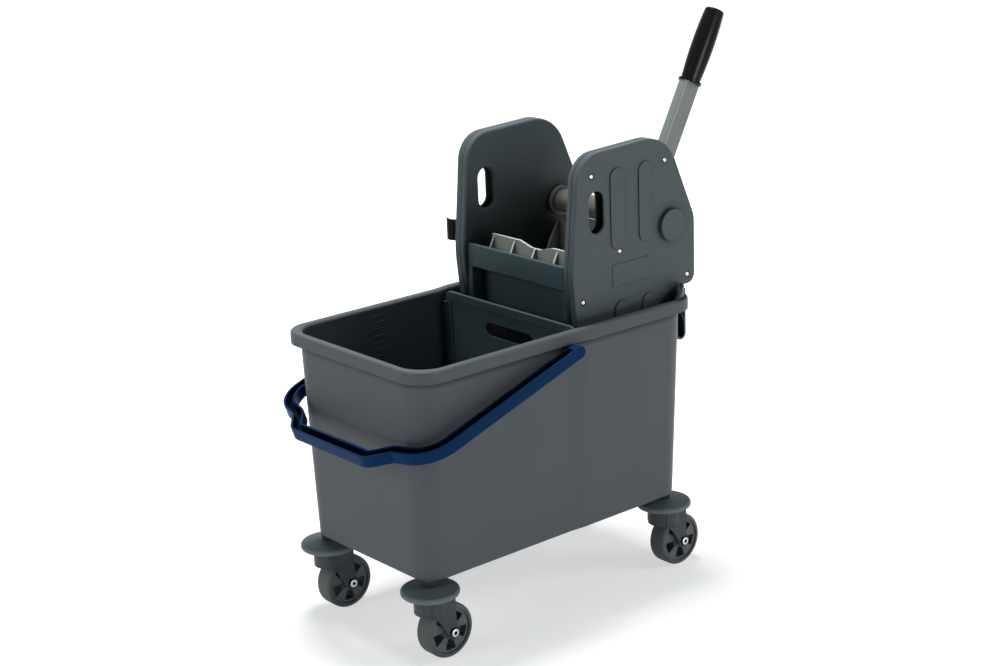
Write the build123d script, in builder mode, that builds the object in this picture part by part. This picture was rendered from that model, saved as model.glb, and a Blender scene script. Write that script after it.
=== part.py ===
from build123d import *
import math
import os

# Cleaning trolley: a mop bucket on four castors with a lever wringer at its rear end.
# Millimetres. X runs across the width, Y along the length towards the wringer, Z up.
# The origin is on the floor under the middle of the bucket.

os.makedirs("parts", exist_ok=True)

# Fits
running_fit = 0.05
push_fit = 0.02
guide_gap = 0.4

# Depth by which joined shapes run into each other, and the share of a thin wall taken by its edge fillet
bury = 1.0
edge_share = 0.3

# Bucket
rim_top = 404.0
rim_height = 16.5
rim_half_width = 149.5
rim_half_length = 245.5
rim_corner = 40.0
rim_overhang = 9.3
rim_skin = 3.0
rim_edge = 3.0
rim_inner_edge = 4.0
base_z = 114.0
base_half_width = 128.5
base_half_length = 229.0
base_corner = 32.5
base_edge = 5.0
wall = 3.5
floor_thickness = 4.0
rear_widening = 4.0
widening_soft = 30.0
wall_half_width = rim_half_width - rim_overhang
wall_half_length = rim_half_length - rim_overhang
wall_corner = rim_corner - 1.0
floor_top = base_z + floor_thickness

# Front of the wringer, measured from the rear rim that carries it, and where the bucket widens for it
wringer_reach = 206.3
wringer_front = rim_half_length - wringer_reach
widening_start = wringer_front - 19.2
widening_end = wringer_front + 4.8

# Raised guards on the rear corners of the rim
guard_top = 419.0
guard_inset = 5.0
guard_thickness = 4.5
guard_foot_back = 46.5
guard_head_back = 16.5
guard_inner_x = 126.0
guard_sweep = 8.0
guard_foot_y = rim_half_length - guard_foot_back
guard_head_y = rim_half_length - guard_head_back

# Rear ledge with the hollow tipping grip under it
grip_half_length = 110.0
grip_overhang = 16.0
grip_set_in = 2.5
grip_bottom = 330.0
grip_skin = 3.0
grip_web_top_z = 385.0
grip_web_bottom_z = 352.0
grip_web = 2.5
grip_round_share = 0.48
grip_outer_y = rim_half_length + grip_overhang
grip_inner_y = rim_half_length - grip_set_in

# Carrying handle
bail_pivot_y = 10.0
bail_pivot_z = 380.0
bail_slope = 18.28
bail_boss_radius = 7.2
bail_boss_gap = 0.5
bail_pin_radius = 5.0
bail_pin_length = 8.5
bail_pin_gap = 0.5
bail_inner_x = 150.5
bail_width = 16.0
bail_height = 16.0
bail_skin = 3.0
bail_end_radius = 8.0
bail_grip_reach = 308.0
bail_shoulder_reach = 276.0
bail_corner_reach = 262.0
bail_grip_half = 76.0
bail_shoulder_half = 102.0
bail_corner = 45.0
bail_jog_radius = 14.0

# Divider plate
divider_y = wringer_front - 8.2
divider_thickness = 4.5
divider_top = 402.5
divider_side_gap = 1.0
divider_border = 12.0
divider_panel_depth = 1.1
divider_slot_length = 98.0
divider_slot_height = 19.5
divider_slot_z = 364.0
divider_corner = 12.0
divider_foot_round = 2.0
rail_width = 4.0
rail_depth = 8.0
rail_bite = 0.4

# Castors
castor_x = 110.3
castor_y = 212.8
socket_radius = 10.5
socket_top = 128.0
stem_radius = 6.0
stem_bottom = 76.0
stem_top = 126.0
collar_radius = 10.4
collar_neck_radius = 9.0
collar_step_z = 108.5
stem_gap = 0.3
disc_radius = 39.0
disc_hub_margin = 2.0
disc_edge = 3.5
disc_shoulder = 4.0
disc_bottom = 93.0
disc_hub_top = 104.0
disc_band_top = 101.0
head_radius = 22.4
head_top = 92.7
head_bottom = 68.0
head_edge = 1.5
trail = 21.0
wheel_radius = 37.5
tread_half = 13.5
tread_edge = 4.5
core_radius = 31.0
core_half = 11.0
core_edge = 0.8
hub_radius = 8.5
hub_half = 14.6
window_inner = 11.5
window_outer = 27.0
window_angle = 38.0
window_count = 5
window_inner_round = 1.5
window_outer_round = 2.5
arch_radius = 41.0
leg_front = 12.5
leg_knee = 1.5
leg_knee_z = 60.0
leg_knee_radius = 30.0
leg_back = 4.5
leg_back_radius = 4.0
leg_bury = 4.0
leg_inner = 15.0
leg_outer = 20.0
leg_end_radius = 9.5
leg_heel_y = 7.6
leg_heel_z = 5.7
leg_shin_z = 11.4
axle_radius = 4.0
axle_head_radius = 5.5
axle_head_top = 23.0
axle_recess_radius = 7.5
axle_recess = 1.5
axle_tail = 22.0
axle_head_edge = 0.8
axle_nut = 2.5
axle_socket_radius = 2.88
axle_socket_depth = 2.5

# Wringer side mouldings
cheek_inner = 102.0
cheek_outer = 111.0
cheek_floor = 4.0
cheek_round = 3.2
cover_outer = 122.0
cover_skin = 3.0
cover_edge = 1.6
seam_chamfer = 0.7
shell_edge = 3.5
cheek_bottom = 362.0
cheek_front_foot = wringer_front + 9.8
cheek_front_knee = (wringer_front, 462.0)
cheek_top_front = (wringer_front + 15.4, 623.4)
cheek_top_rear = (wringer_front + 176.6, 630.0)
cheek_back_overhang = 6.5
cheek_back_top_z = 508.5
cheek_hook_z = 413.5
cheek_hook_cover = 15.5
cheek_heel_z = 399.5
cheek_heel_back = 23.5
cheek_foot_back = 28.5
cheek_foot_radius = 6.0
cheek_knee_radius = 200.0
cheek_top_front_radius = 40.0
cheek_top_rear_radius = 60.0
cheek_back_radius = 40.0
cheek_hook_radius = 14.0
cheek_back = rim_half_length + grip_overhang + cheek_back_overhang
slot_y = wringer_front + 45.8
slot_z = 545.0
slot_height = 57.0
slot_width = 27.0
post_radius = 4.5
screw_radius = 1.75
screw_head_radius = 3.75
screw_head_height = 2.2
screw_recess = 1.8
screw_recess_gap = 0.8
screw_dome = 2.0
screw_tip_gap = 0.5
screw_tip = 104.5
rear_screw_edge = 14.5
screw_points = (
    (wringer_front + 37.5, 594.5),
    (wringer_front + 173.0, 594.5),
    (wringer_front + 86.3, 485.2),
    (cheek_back - rear_screw_edge, 427.1),
    (wringer_front + 18.0, 427.7),
)
boss_radius = 22.0
boss_height = 6.0
boss_hollow = 4.0
boss_edge = 1.2
rib_width = 24.0
rib_height = 1.5
upper_ribs = ((wringer_front + 82.3, 544.0, 110.0), (wringer_front + 134.3, 544.5, 109.0))
lower_ribs = ((wringer_front + 87.3, 390.0, 53.0), (wringer_front + 138.3, 390.0, 53.0))
badge_y = wringer_front + 105.8
badge_z = 453.0
badge_length = 70.0
badge_height = 32.0
badge_rise = 1.0
badge_corner = 2.0
badge_slope = 45.0

# Wringer cross members
bar_front = wringer_front + 6.8
bar_back = bar_front + 6.0
bar_bottom = 441.0
bar_top = 473.5
bar_edge = 1.5
frame_flange = 9.0
frame_foot_gap = 4.0
panel_front = bar_front + 23.0
panel_back = panel_front + 3.0
panel_web = 4.0
rear_bar_set_in = 5.5
rear_bar_front = rim_half_length - rear_bar_set_in
rear_bar_back = grip_outer_y
rear_bar_top = 432.0
rear_bar_skin = 3.5
rear_bar_edge = 3.0
seat_front = wringer_front + 12.8
seat_back = seat_front + 28.0
seat_height = 16.0
seat_bite = rear_widening / 2

# Fixed press plate
plate_half_width = 92.0
plate_face = wringer_front + 47.8
plate_thickness = 3.5
plate_top = 481.5
plate_knee_z = 446.0
plate_foot_y = plate_face + 53.0
plate_foot_z = 386.0
plate_dip_depth = 6.5
plate_dip_flat = 10.0
plate_dip_half = 33.0
rib_thickness = 3.0
rib_pitch = 44.0
rib_count = 5
plate_rib_drop = 16.0
plate_rib_start = 2.5
plate_rib_foot = 40.0
plate_rib_reach = 30.0
plate_rib_rise = 20.0
drain_width = 6.0
drain_length = 46.0
drain_pitch = 14.7
drain_count = 12

# Gears between the lever and the moving jaw
lever_axis_y = wringer_front + 181.8
lever_axis_z = 504.0
jaw_axis_y = lever_axis_y - 61.0
gear_module = 4.0
lever_teeth = 19
jaw_teeth = 49
tooth_thinning = 0.35
pressure_angle = 20.0
addendum = 0.95
dedendum = 1.2
gear_start = 107.5
gear_width = 7.0
lever_gear_teeth = 7
jaw_gear_teeth = 7
centre_distance = gear_module * (lever_teeth + jaw_teeth) / 2
jaw_axis_z = lever_axis_z - math.sqrt(centre_distance**2 - (lever_axis_y - jaw_axis_y) ** 2)
mesh_angle = math.degrees(math.atan2(lever_axis_z - jaw_axis_z, lever_axis_y - jaw_axis_y))
lever_gear_hub = 17.0
jaw_gear_hub = 12.0
jaw_web_rim = 7.0

# Lever and its shaft
shaft_radius = 8.0
shaft_half = 121.0
shaft_chamfer = 0.8
bush_radius = 12.0
bush_flange_radius = 15.0
bush_flange = 1.5
drum_radius = 16.5
drum_half = 94.5
flange_radius = 21.5
flange_end = 100.0
lever_x = 67.0
lever_lean = 28.74
tube_width = 16.0
tube_depth = 30.0
tube_wall = 1.6
tube_round = 4.0
tube_start = 22.0
tube_end = 199.0
holder_start = 6.0
holder_end = 50.0
holder_wall = 3.0
holder_round = 5.0
bolt_reach = 37.0
bolt_radius = 3.0
bolt_head_radius = 5.5
bolt_head = 3.5
grip_end = 307.0
grip_end_radius = 13.5
grip_middle_radius = 15.8
grip_collar_radius = 16.5
grip_collar = 3.5
grip_top_edge = 3.0
plug_length = 26.0
plug_gap = 0.15

# Moving jaw
jaw_half_width = 98.0
jaw_back = lever_axis_y - 4.0
jaw_skin = 4.0
jaw_top = 477.0
jaw_lip_gap = 1.0
jaw_lip_half = 80.0
jaw_knee_z = 432.0
jaw_rib_top_y = jaw_back - 7.0
jaw_rib_y = jaw_back - 24.0
jaw_rib_z = 449.0
jaw_rib_foot_y = jaw_back - 46.0
jaw_rib_pitch = 47.5
jaw_rib_drop = 2.0
jaw_rib_foot_z = 392.0
jaw_barrel_radius = 10.0
jaw_barrel_half = 100.0
jaw_barrel_lead = 6.0
jaw_shaft_radius = 5.0
jaw_shaft_half = 116.0

# Return spring
spring_radius = 12.5
spring_wire = 0.8
spring_start = 117.4
spring_pitch = 1.9
spring_turns = 2.5

# Handle clip
clip_x = -141.0
clip_y = wringer_front + 20.8
clip_bottom = 471.0
clip_height = 30.0
clip_bore = 11.0
clip_skin = 3.0
clip_mouth = 80.0
bracket_width = 26.0
bracket_margin = 2.0
bracket_round = 4.0
clip_foot_width = 18.2


def save(piece, name):
    piece.part.label = name
    export_step(piece.part, f"parts/{name}.step")


def bucket_outline(half_width, half_length, corner, widening):
    rear = half_width + widening
    with BuildLine() as outline:
        FilletPolyline(
            (-half_width, -half_length),
            (half_width, -half_length),
            (half_width, widening_start),
            (rear, widening_end),
            (rear, half_length),
            (-rear, half_length),
            (-rear, widening_end),
            (-half_width, widening_start),
            radius=(corner, corner, widening_soft, widening_soft, corner, corner, widening_soft, widening_soft),
            close=True,
        )
    make_face(outline.edges())


def wall_half_at(z):
    share = (z - base_z) / (rim_top - base_z)
    return base_half_width + share * (wall_half_width - base_half_width)


def rim_outline(inset):
    bucket_outline(rim_half_width - inset, rim_half_length - inset, rim_corner - inset, rear_widening)


# Rear corner guards: a strip on the inner half of the rim that rises in an S on each side.
with BuildPart() as corner_guards:
    with BuildSketch(Plane.XY.offset(rim_top - rim_edge)):
        rim_outline(guard_inset)
    extrude(amount=guard_top - rim_top + rim_edge)
    with BuildSketch(Plane.XY.offset(rim_top - rim_edge)):
        rim_outline(guard_inset + guard_thickness)
    extrude(amount=guard_top - rim_top + rim_edge, mode=Mode.SUBTRACT)
    fillet(corner_guards.edges().group_by(Axis.Z)[-1], guard_thickness * edge_share)
    with BuildSketch(Plane.YZ):
        with BuildLine():
            FilletPolyline(
                (guard_foot_y - guard_sweep / 2, rim_top - rim_edge),
                (guard_foot_y + guard_sweep, rim_top),
                (guard_head_y - guard_sweep, guard_top),
                (rim_half_length, guard_top),
                (rim_half_length, rim_top - rim_edge),
                radius=(0, 1.5 * guard_sweep, 1.5 * guard_sweep, 0, 0),
                close=True,
            )
        make_face()
    extrude(amount=rim_half_width + rear_widening, both=True, mode=Mode.INTERSECT)
    with BuildSketch(Plane.XY.offset(rim_top - rim_edge)):
        with Locations((0, rim_half_length)):
            Rectangle(2 * guard_inner_x, rim_half_length)
    extrude(amount=guard_top, mode=Mode.SUBTRACT)

# Hollow tipping grip under the rear ledge, with a slanting web inside.
with BuildPart() as tipping_grip:
    with BuildSketch(Plane.YZ):
        with BuildLine():
            outer_round = (grip_outer_y - grip_inner_y) * grip_round_share
            FilletPolyline(
                (grip_inner_y, rim_top),
                (grip_inner_y, grip_bottom),
                (grip_outer_y, grip_bottom),
                (grip_outer_y, rim_top),
                radius=(0, outer_round, outer_round, rim_edge),
                close=True,
            )
        make_face()
        with BuildLine():
            FilletPolyline(
                (grip_inner_y + grip_skin, rim_top - grip_skin),
                (grip_inner_y + grip_skin, grip_bottom + grip_skin),
                (grip_outer_y - grip_skin, grip_bottom + grip_skin),
                (grip_outer_y - grip_skin, rim_top - grip_skin),
                radius=(0, outer_round - grip_skin, outer_round - grip_skin, 0),
                close=True,
            )
        make_face(mode=Mode.SUBTRACT)
        with BuildLine():
            Polyline(
                (grip_inner_y + grip_skin / 2, grip_web_top_z),
                (grip_outer_y - grip_skin / 2, grip_web_bottom_z),
                (grip_outer_y - grip_skin / 2, grip_web_bottom_z + grip_web),
                (grip_inner_y + grip_skin / 2, grip_web_top_z + grip_web),
                close=True,
            )
        make_face()
    extrude(amount=grip_half_length, both=True)

# Tub: tapered walls, skirted rim, guards, grip, pivot bosses, rails, seats and castor sockets.
with BuildPart() as tub:
    with BuildSketch(Plane.XY.offset(base_z)):
        bucket_outline(base_half_width, base_half_length, base_corner, rear_widening / 2)
    with BuildSketch(Plane.XY.offset(rim_top)):
        bucket_outline(wall_half_width, wall_half_length, wall_corner, rear_widening)
    loft(ruled=True)
    fillet(tub.edges().group_by(Axis.Z)[0], base_edge)
    with BuildSketch(Plane.XY.offset(rim_top - rim_height)):
        rim_outline(0)
    extrude(amount=rim_height)
    fillet(tub.faces().sort_by(Axis.Z)[-1].edges(), rim_edge)
    with BuildSketch(Plane.XY.offset(rim_top - rim_height)):
        rim_outline(rim_skin)
        with BuildSketch(mode=Mode.SUBTRACT):
            bucket_outline(wall_half_width, wall_half_length, wall_corner, rear_widening)
    extrude(amount=rim_height - wall, mode=Mode.SUBTRACT)
    with Locations((0, 0, base_z + base_edge)):
        with GridLocations(2 * castor_x, 2 * castor_y, 2, 2):
            Cylinder(socket_radius, base_edge, align=(Align.CENTER, Align.CENTER, Align.MAX))
    with BuildSketch(Plane.XY.offset(floor_top)):
        bucket_outline(base_half_width - wall, base_half_length - wall, base_corner - wall, rear_widening / 2)
    with BuildSketch(Plane.XY.offset(rim_top)):
        bucket_outline(wall_half_width - wall, wall_half_length - wall, wall_corner - wall, rear_widening)
    loft(ruled=True, mode=Mode.SUBTRACT)
    fillet(tub.faces().sort_by(Axis.Z)[-1].inner_wires()[0].edges(), rim_inner_edge)
    add(corner_guards.part)
    add(tipping_grip.part)
    with BuildSketch(Plane.XY.offset(floor_top)):
        with GridLocations(2 * castor_x, 2 * castor_y, 2, 2):
            Circle(socket_radius)
    extrude(amount=socket_top - floor_top)
    with BuildSketch(Plane.XY.offset(base_z)):
        with GridLocations(2 * castor_x, 2 * castor_y, 2, 2):
            Circle(stem_radius + push_fit)
    extrude(amount=stem_top - base_z, mode=Mode.SUBTRACT)
    for side in (1, -1):
        with BuildSketch(Plane.YZ.offset(side * (wall_half_at(bail_pivot_z) - bury))):
            with Locations((bail_pivot_y, bail_pivot_z)):
                Circle(bail_boss_radius)
        extrude(amount=side * (rim_half_width - bail_boss_gap - wall_half_at(bail_pivot_z) + bury))
        with BuildSketch(Plane.YZ.offset(side * rim_half_width)):
            with Locations((bail_pivot_y, bail_pivot_z)):
                Circle(bail_pin_radius + running_fit)
        extrude(amount=-side * bail_pin_length, mode=Mode.SUBTRACT)
        for rail_y in (
            divider_y - divider_thickness / 2 - guide_gap - rail_width / 2,
            divider_y + divider_thickness / 2 + guide_gap + rail_width / 2,
        ):
            rail_top = rim_top - rim_height
            with BuildSketch(Plane.XZ.offset(-rail_y)):
                with BuildLine():
                    Polyline(
                        (side * (wall_half_at(floor_top) - wall - rail_depth), floor_top - bury),
                        (side * (wall_half_at(floor_top) + rail_bite), floor_top - bury),
                        (side * (wall_half_at(rail_top) + rail_bite), rail_top),
                        (side * (wall_half_at(rail_top) - wall - rail_depth), rail_top),
                        close=True,
                    )
                make_face()
            extrude(amount=rail_width / 2, both=True)
        with BuildSketch(Plane.XZ.offset(-seat_front)):
            with BuildLine():
                Polyline(
                    (side * (cheek_inner + bury), cheek_bottom),
                    (side * (wall_half_at(cheek_bottom) + seat_bite), cheek_bottom),
                    (side * (wall_half_at(cheek_bottom) + seat_bite / 2), cheek_bottom - 2 * seat_height),
                    (side * (cheek_inner + bury), cheek_bottom - seat_height),
                    close=True,
                )
            make_face()
        extrude(amount=seat_front - seat_back)
save(tub, "tub")

# Divider: a tapered plate with a raised border and a hand slot, held between the rails.
with BuildPart() as divider:
    plate_foot = wall_half_at(floor_top) - wall - divider_side_gap
    plate_head = wall_half_at(divider_top) - wall - divider_side_gap
    with BuildSketch(Plane.XZ.offset(-divider_y)):
        with BuildLine():
            FilletPolyline(
                (-plate_foot, floor_top),
                (plate_foot, floor_top),
                (plate_head, divider_top),
                (-plate_head, divider_top),
                radius=(divider_foot_round, divider_foot_round, divider_corner, divider_corner),
                close=True,
            )
        make_face()
    extrude(amount=divider_thickness / 2, both=True)
    for face_side in (1, -1):
        with BuildSketch(Plane.XZ.offset(face_side * divider_thickness / 2 - divider_y)):
            with BuildLine():
                FilletPolyline(
                    (-plate_foot + divider_border, floor_top + divider_border),
                    (plate_foot - divider_border, floor_top + divider_border),
                    (plate_head - divider_border, divider_top - divider_border),
                    (-plate_head + divider_border, divider_top - divider_border),
                    radius=divider_corner / 2,
                    close=True,
                )
            make_face()
        extrude(amount=-face_side * divider_panel_depth, mode=Mode.SUBTRACT)
    with BuildSketch(Plane.XZ.offset(-divider_y)):
        with Locations((0, divider_slot_z)):
            SlotOverall(divider_slot_length, divider_slot_height)
    extrude(amount=divider_thickness, both=True, mode=Mode.SUBTRACT)
    fillet(divider.edges().group_by(Axis.Z)[-1], divider_thickness * edge_share)
save(divider, "divider")

# Carrying handle: a channel bent round the front of the bucket, with stub pins at its ends.
bail_plane = Plane(
    origin=(0, bail_pivot_y, bail_pivot_z),
    x_dir=(1, 0, 0),
    z_dir=(0, -math.sin(math.radians(bail_slope)), math.cos(math.radians(bail_slope))),
)


def bail_outline(inset):
    half = bail_inner_x + bail_width / 2
    with BuildLine() as middle:
        FilletPolyline(
            (-half, 0),
            (-half, -bail_corner_reach),
            (-bail_shoulder_half, -bail_shoulder_reach),
            (-bail_grip_half, -bail_grip_reach + bail_width / 2),
            (bail_grip_half, -bail_grip_reach + bail_width / 2),
            (bail_shoulder_half, -bail_shoulder_reach),
            (half, -bail_corner_reach),
            (half, 0),
            radius=(bail_corner, bail_jog_radius, bail_jog_radius, bail_jog_radius, bail_jog_radius, bail_corner),
        )
    trace(middle.line, bail_width - 2 * inset)


with BuildPart() as bail_handle:
    with BuildSketch(bail_plane.offset(-bail_height / 2)):
        bail_outline(0)
    extrude(amount=bail_height)
    for side in (1, -1):
        with BuildSketch(Plane.YZ.offset(side * bail_inner_x)):
            with Locations((bail_pivot_y, bail_pivot_z)):
                Circle(bail_end_radius)
        extrude(amount=side * bail_width)
    with BuildSketch(bail_plane.offset(bail_skin - bail_height / 2)):
        bail_outline(bail_skin)
        with Locations((0, bail_end_radius)):
            Rectangle(3 * bail_inner_x, 4 * bail_end_radius, mode=Mode.SUBTRACT)
    extrude(amount=bail_height, mode=Mode.SUBTRACT)
    for side in (1, -1):
        with BuildSketch(Plane.YZ.offset(side * bail_inner_x)):
            with Locations((bail_pivot_y, bail_pivot_z)):
                Circle(bail_pin_radius)
        extrude(amount=side * (rim_half_width - bail_inner_x - bail_pin_length + bail_pin_gap))
save(bail_handle, "bail_handle")

# Castor stems: collar under the tub, pin up into its socket and down through disc and fork.
with BuildPart() as castor_stem:
    with BuildSketch(Plane.XZ):
        with BuildLine():
            Polyline(
                (0, stem_bottom),
                (stem_radius, stem_bottom),
                (stem_radius, disc_hub_top + stem_gap),
                (collar_neck_radius, disc_hub_top + stem_gap),
                (collar_neck_radius, collar_step_z),
                (collar_radius, collar_step_z),
                (collar_radius, base_z),
                (stem_radius, base_z),
                (stem_radius, stem_top),
                (0, stem_top),
                close=True,
            )
        make_face()
    revolve(axis=Axis.Z)

with BuildPart() as castor_stems:
    with GridLocations(2 * castor_x, 2 * castor_y, 2, 2):
        add(castor_stem.part)
save(castor_stems, "castor_stems")

# Bumper disc: domed guard that turns freely on the stem.
with BuildPart() as bumper_disc:
    with BuildSketch(Plane.XZ):
        with BuildLine():
            FilletPolyline(
                (stem_radius + running_fit, disc_bottom),
                (disc_radius, disc_bottom),
                (disc_radius, disc_band_top),
                (collar_radius + disc_hub_margin, disc_hub_top),
                (stem_radius + running_fit, disc_hub_top),
                radius=(0, disc_edge, disc_shoulder, 0, 0),
                close=True,
            )
        make_face()
    revolve(axis=Axis.Z)

# Fork: round head with an arch over the wheel and two legs that trail to the axle.
with BuildPart() as fork:
    with BuildSketch(Plane.XY.offset(head_bottom)):
        Circle(head_radius)
    extrude(amount=head_top - head_bottom)
    fillet(fork.edges().group_by(Axis.Z)[-1], head_edge)
    for side in (1, -1):
        with BuildSketch(Plane.YZ.offset(side * leg_inner)):
            with BuildLine():
                FilletPolyline(
                    (-leg_front, head_top - leg_bury),
                    (-leg_front, head_bottom),
                    (-leg_knee, leg_knee_z),
                    (trail - leg_end_radius, wheel_radius),
                    (trail + leg_heel_y, wheel_radius + leg_heel_z),
                    (trail + leg_back, wheel_radius + leg_shin_z),
                    (trail + leg_back, head_top - leg_bury),
                    radius=(0, 0, leg_knee_radius, 0, 0, 0, leg_back_radius),
                    close=True,
                )
            make_face()
            with Locations((trail, wheel_radius)):
                Circle(leg_end_radius)
        extrude(amount=side * (leg_outer - leg_inner))
    with BuildSketch(Plane.YZ):
        with Locations((trail, wheel_radius)):
            Circle(arch_radius)
    extrude(amount=leg_inner, both=True, mode=Mode.SUBTRACT)
    with BuildSketch(Plane.YZ):
        with Locations((trail, wheel_radius)):
            Circle(axle_radius + push_fit)
    extrude(amount=leg_outer + bury, both=True, mode=Mode.SUBTRACT)
    for side in (1, -1):
        with BuildSketch(Plane.YZ.offset(side * leg_outer)):
            with Locations((trail, wheel_radius)):
                Circle(axle_recess_radius)
        extrude(amount=-side * axle_recess, mode=Mode.SUBTRACT)
    with BuildSketch(Plane.XY.offset(head_top)):
        Circle(stem_radius + running_fit)
    extrude(amount=stem_bottom - bury - head_top, mode=Mode.SUBTRACT)

# Wheel: core with five wedge windows, turning on the axle bolt.
wheel_plane = Plane(origin=(0, trail, wheel_radius), x_dir=(0, 1, 0), z_dir=(1, 0, 0))
with BuildPart() as wheel:
    with BuildSketch(wheel_plane):
        Circle(core_radius)
    extrude(amount=core_half, both=True)
    fillet(wheel.edges(), core_edge)
    with BuildSketch(wheel_plane):
        with BuildSketch(mode=Mode.PRIVATE) as window:
            half_angle = math.radians(window_angle / 2)
            inner_half = window_inner * math.tan(half_angle)
            outer_half = window_outer * math.tan(half_angle)
            with BuildLine():
                FilletPolyline(
                    (window_inner, -inner_half),
                    (window_outer, -outer_half),
                    (window_outer, outer_half),
                    (window_inner, inner_half),
                    radius=(window_inner_round, window_outer_round, window_outer_round, window_inner_round),
                    close=True,
                )
            make_face()
        with PolarLocations(0, window_count, start_angle=-90):
            add(window.sketch)
    extrude(amount=core_half, both=True, mode=Mode.SUBTRACT)
    with BuildSketch(wheel_plane):
        Circle(hub_radius)
    extrude(amount=hub_half, both=True)
    with BuildSketch(wheel_plane):
        Circle(axle_radius + running_fit)
    extrude(amount=hub_half, both=True, mode=Mode.SUBTRACT)

with BuildPart() as tyre:
    with BuildSketch(wheel_plane):
        Circle(wheel_radius)
    extrude(amount=tread_half, both=True)
    fillet(tyre.edges(), tread_edge)
    with BuildSketch(wheel_plane):
        Circle(core_radius)
    extrude(amount=tread_half, both=True, mode=Mode.SUBTRACT)

# Axle bolt: shank through both legs, socket head on one side and nut on the other.
with BuildPart() as axle_bolt:
    seat = leg_outer - axle_recess
    with BuildSketch(wheel_plane.offset(-axle_tail)):
        Circle(axle_radius)
    extrude(amount=seat + axle_tail)
    with BuildSketch(wheel_plane.offset(seat)):
        Circle(axle_head_radius)
    extrude(amount=axle_head_top - seat)
    fillet(axle_bolt.edges().group_by(Axis.X)[-1], axle_head_edge)
    with BuildSketch(wheel_plane.offset(axle_head_top)):
        RegularPolygon(axle_socket_radius, 6)
    extrude(amount=-axle_socket_depth, mode=Mode.SUBTRACT)
    with BuildSketch(wheel_plane.offset(-seat)):
        RegularPolygon(axle_head_radius, 6)
    extrude(amount=-axle_nut)

castor_corners = {
    "front_left": (-castor_x, -castor_y),
    "front_right": (castor_x, -castor_y),
    "rear_left": (-castor_x, castor_y),
    "rear_right": (castor_x, castor_y),
}
castor_pieces = {"bumper_disc": bumper_disc, "fork": fork, "wheel": wheel, "tyre": tyre, "axle_bolt": axle_bolt}
for corner_name, corner_place in castor_corners.items():
    for piece_name, piece in castor_pieces.items():
        with BuildPart() as castor_piece:
            with Locations(corner_place):
                add(piece.part)
        save(castor_piece, f"{piece_name}_{corner_name}")


def cheek_outline():
    with BuildLine() as outline:
        FilletPolyline(
            (cheek_front_foot, cheek_bottom),
            cheek_front_knee,
            cheek_top_front,
            cheek_top_rear,
            (cheek_back, cheek_back_top_z),
            (cheek_back, cheek_hook_z),
            (grip_outer_y - cheek_hook_cover, cheek_hook_z),
            (rim_half_length - cheek_heel_back, cheek_heel_z),
            (rim_half_length - cheek_foot_back, cheek_bottom),
            radius=(
                cheek_foot_radius,
                cheek_knee_radius,
                cheek_top_front_radius,
                cheek_top_rear_radius,
                cheek_back_radius,
                cheek_hook_radius,
                cheek_hook_radius,
                cheek_hook_radius,
                cheek_foot_radius,
            ),
            close=True,
        )
    make_face(outline.edges())


def hand_slot():
    with Locations((slot_y, slot_z)):
        SlotOverall(slot_height, slot_width, rotation=90, mode=Mode.SUBTRACT)


def hollow_outline():
    cheek_outline()
    offset(amount=-shell_edge, mode=Mode.REPLACE)
    with Locations(*screw_points):
        Circle(post_radius, mode=Mode.SUBTRACT)


# Cheek: hollow side moulding with softly rounded inner edge, carrying both shafts.
with BuildPart() as right_cheek:
    with BuildSketch(Plane.YZ.offset(cheek_inner)):
        cheek_outline()
        hand_slot()
    extrude(amount=cheek_outer - cheek_inner)
    fillet(right_cheek.faces().sort_by(Axis.X)[0].edges(), cheek_round)
    chamfer(right_cheek.faces().sort_by(Axis.X)[-1].outer_wire().edges(), seam_chamfer)
    with BuildSketch(Plane.YZ.offset(cheek_inner + cheek_floor)):
        hollow_outline()
    extrude(amount=cheek_outer - cheek_inner, mode=Mode.SUBTRACT)
    with BuildSketch(Plane.YZ.offset(screw_tip - screw_tip_gap)):
        with Locations(*screw_points):
            Circle(screw_radius + running_fit)
    extrude(amount=cheek_outer - cheek_inner, mode=Mode.SUBTRACT)
    with BuildSketch(Plane.YZ.offset(cheek_inner)):
        with Locations((lever_axis_y, lever_axis_z)):
            Circle(bush_radius + push_fit)
        with Locations((jaw_axis_y, jaw_axis_z)):
            Circle(jaw_shaft_radius + running_fit)
    extrude(amount=cheek_outer - cheek_inner, mode=Mode.SUBTRACT)
save(right_cheek, "right_cheek")

with BuildPart() as left_cheek:
    mirror(right_cheek.part, about=Plane.YZ)
save(left_cheek, "left_cheek")

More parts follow.
